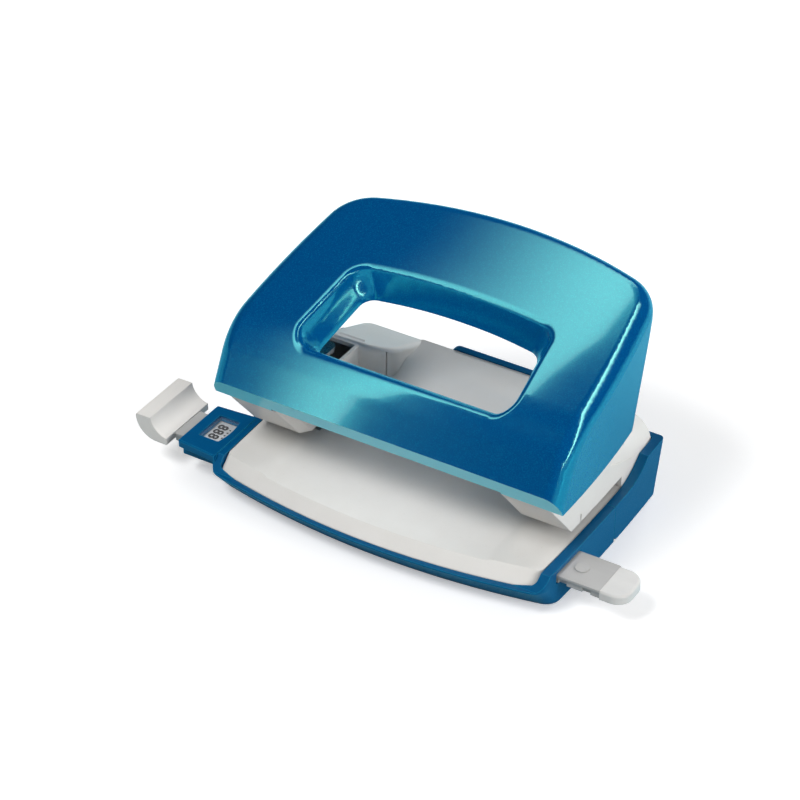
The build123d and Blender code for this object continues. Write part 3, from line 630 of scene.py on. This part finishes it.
def reflector(name, stations, strength, colour):
    """Flat glowing sheet above the object, seen only in its reflections."""
    points, levels, faces = [], [], []
    for crisp_x, crisp_y, faded_x, faded_y, gain in stations:
        for part in range(REFLECTOR_PARTS + 1):
            share = part / REFLECTOR_PARTS
            x = crisp_x + share * (faded_x - crisp_x)
            y = crisp_y + share * (faded_y - crisp_y)
            points.append((x, y, REFLECTOR_HEIGHT))
            levels.append(gain * ease(1 - share, 0.0, 1.0))
    across = REFLECTOR_PARTS + 1
    for row in range(len(stations) - 1):
        for column in range(REFLECTOR_PARTS):
            corner = across * row + column
            faces.append((corner, corner + 1, corner + across + 1, corner + across))
    mesh = bpy.data.meshes.new(name)
    mesh.from_pydata(points, [], faces)
    mesh.attributes.new("glow", "FLOAT", "POINT").data.foreach_set("value", levels)
    mesh.materials.append(glowing(name + "_glow", strength, colour))
    thing = linked(name, mesh)
    thing.visible_camera = False
    thing.visible_diffuse = False
    thing.visible_shadow = False
    thing.visible_transmission = False


# Soft lamps: place, height of the point they face, size and power in watts
LAMPS = {
    "key": ((-0.36, -0.60, 1.04), 0.02, (0.50, 0.45), 8.6),
    "left": ((-1.05, -0.40, 0.40), 0.02, (0.50, 0.40), 0.8),
    "right": ((1.00, -0.20, 0.36), 0.03, (0.50, 0.40), 7.6),
    "rear": ((0.10, 1.05, 0.38), 0.03, (0.80, 0.30), 9.5),
}


def lamp(name, place, aim_height, size, power):
    data = bpy.data.lights.new(name, "AREA")
    data.shape = "RECTANGLE"
    data.size, data.size_y = size
    data.energy = power
    thing = linked(name, data)
    back = (Vector(place) - Vector((0, 0, aim_height))).normalized()
    thing.matrix_world = Matrix.Translation(place) @ back.to_track_quat("Z", "Y").to_matrix().to_4x4()
    thing.visible_glossy = False


# Floor: pale to the camera, darker as a source of bounced light, and blue-green in reflections
FLOOR_HALF = 3.0
FLOOR_SEEN = (0.90, 0.90, 0.90)
FLOOR_BOUNCED = (0.42, 0.42, 0.42)
FLOOR_MIRRORED = (0.20, 0.62, 0.78)
FLOOR_GLOW = 0.30


def pale_floor():
    material = bpy.data.materials.new("pale_floor")
    material.use_nodes = True
    tree = material.node_tree
    shader = tree.nodes["Principled BSDF"]
    shader.inputs["Roughness"].default_value = 0.9
    shader.inputs["Specular IOR Level"].default_value = 0.1
    shader.inputs["Emission Color"].default_value = (1, 1, 1, 1)
    ray = tree.nodes.new("ShaderNodeLightPath").outputs
    plain = mix_colours(tree, ray["Is Camera Ray"], FLOOR_BOUNCED, FLOOR_SEEN)
    tinted = mix_colours(tree, ray["Is Glossy Ray"], plain, FLOOR_MIRRORED)
    feed(tree, tinted, shader.inputs["Base Color"])
    seen = combine(tree, "MAXIMUM", ray["Is Camera Ray"], ray["Is Transmission Ray"])
    feed(tree, combine(tree, "MULTIPLY", seen, FLOOR_GLOW), shader.inputs["Emission Strength"])

    mesh = bpy.data.meshes.new("floor")
    near, far = -FLOOR_HALF, FLOOR_HALF
    mesh.from_pydata([(near, near, 0), (far, near, 0), (far, far, 0), (near, far, 0)], [], [(0, 1, 2, 3)])
    mesh.materials.append(material)
    linked("floor", mesh)


# Surroundings by height, from the horizon up: as a source of light, and as reflections show them
AMBIENT = ((0.0, 0.02), (0.10, 0.03), (0.35, 0.07), (1.0, 0.18))
MIRRORED = ((0.0, (0.16, 0.46, 0.56)), (0.10, (0.13, 0.38, 0.46)), (0.20, (0.010, 0.013, 0.016)))
BACKDROP = (1.0, 1.0, 1.0)


def surroundings():
    world = bpy.data.worlds.new("studio")
    scene.world = world
    world.use_nodes = True
    tree = world.node_tree
    split = tree.nodes.new("ShaderNodeSeparateXYZ")
    tree.links.new(tree.nodes.new("ShaderNodeTexCoord").outputs["Generated"], split.inputs[0])
    height = split.outputs["Z"]
    ambient = colour_ramp(tree, height, [(position, (grey, grey, grey)) for position, grey in AMBIENT])
    mirrored = colour_ramp(tree, height, MIRRORED)
    ray = tree.nodes.new("ShaderNodeLightPath").outputs
    lighting = mix_colours(tree, ray["Is Glossy Ray"], ambient, mirrored)
    shown = mix_colours(tree, ray["Is Camera Ray"], lighting, BACKDROP)
    sky = tree.nodes["Background"]
    feed(tree, shown, sky.inputs["Color"])
    sky.inputs["Strength"].default_value = 1.0


place_camera()
reflector("broad_strip", BROAD, 2.3, (1.15, 1.0, 0.97))
reflector("faint_strip", FAINT, 0.6, (0.5, 1.0, 1.0))
reflector("narrow_strip", NARROW, 5.0, (1.5, 1.0, 0.9))
for name, setting in LAMPS.items():
    lamp(name, *setting)
pale_floor()
surroundings()
scene.view_settings.view_transform = "Standard"
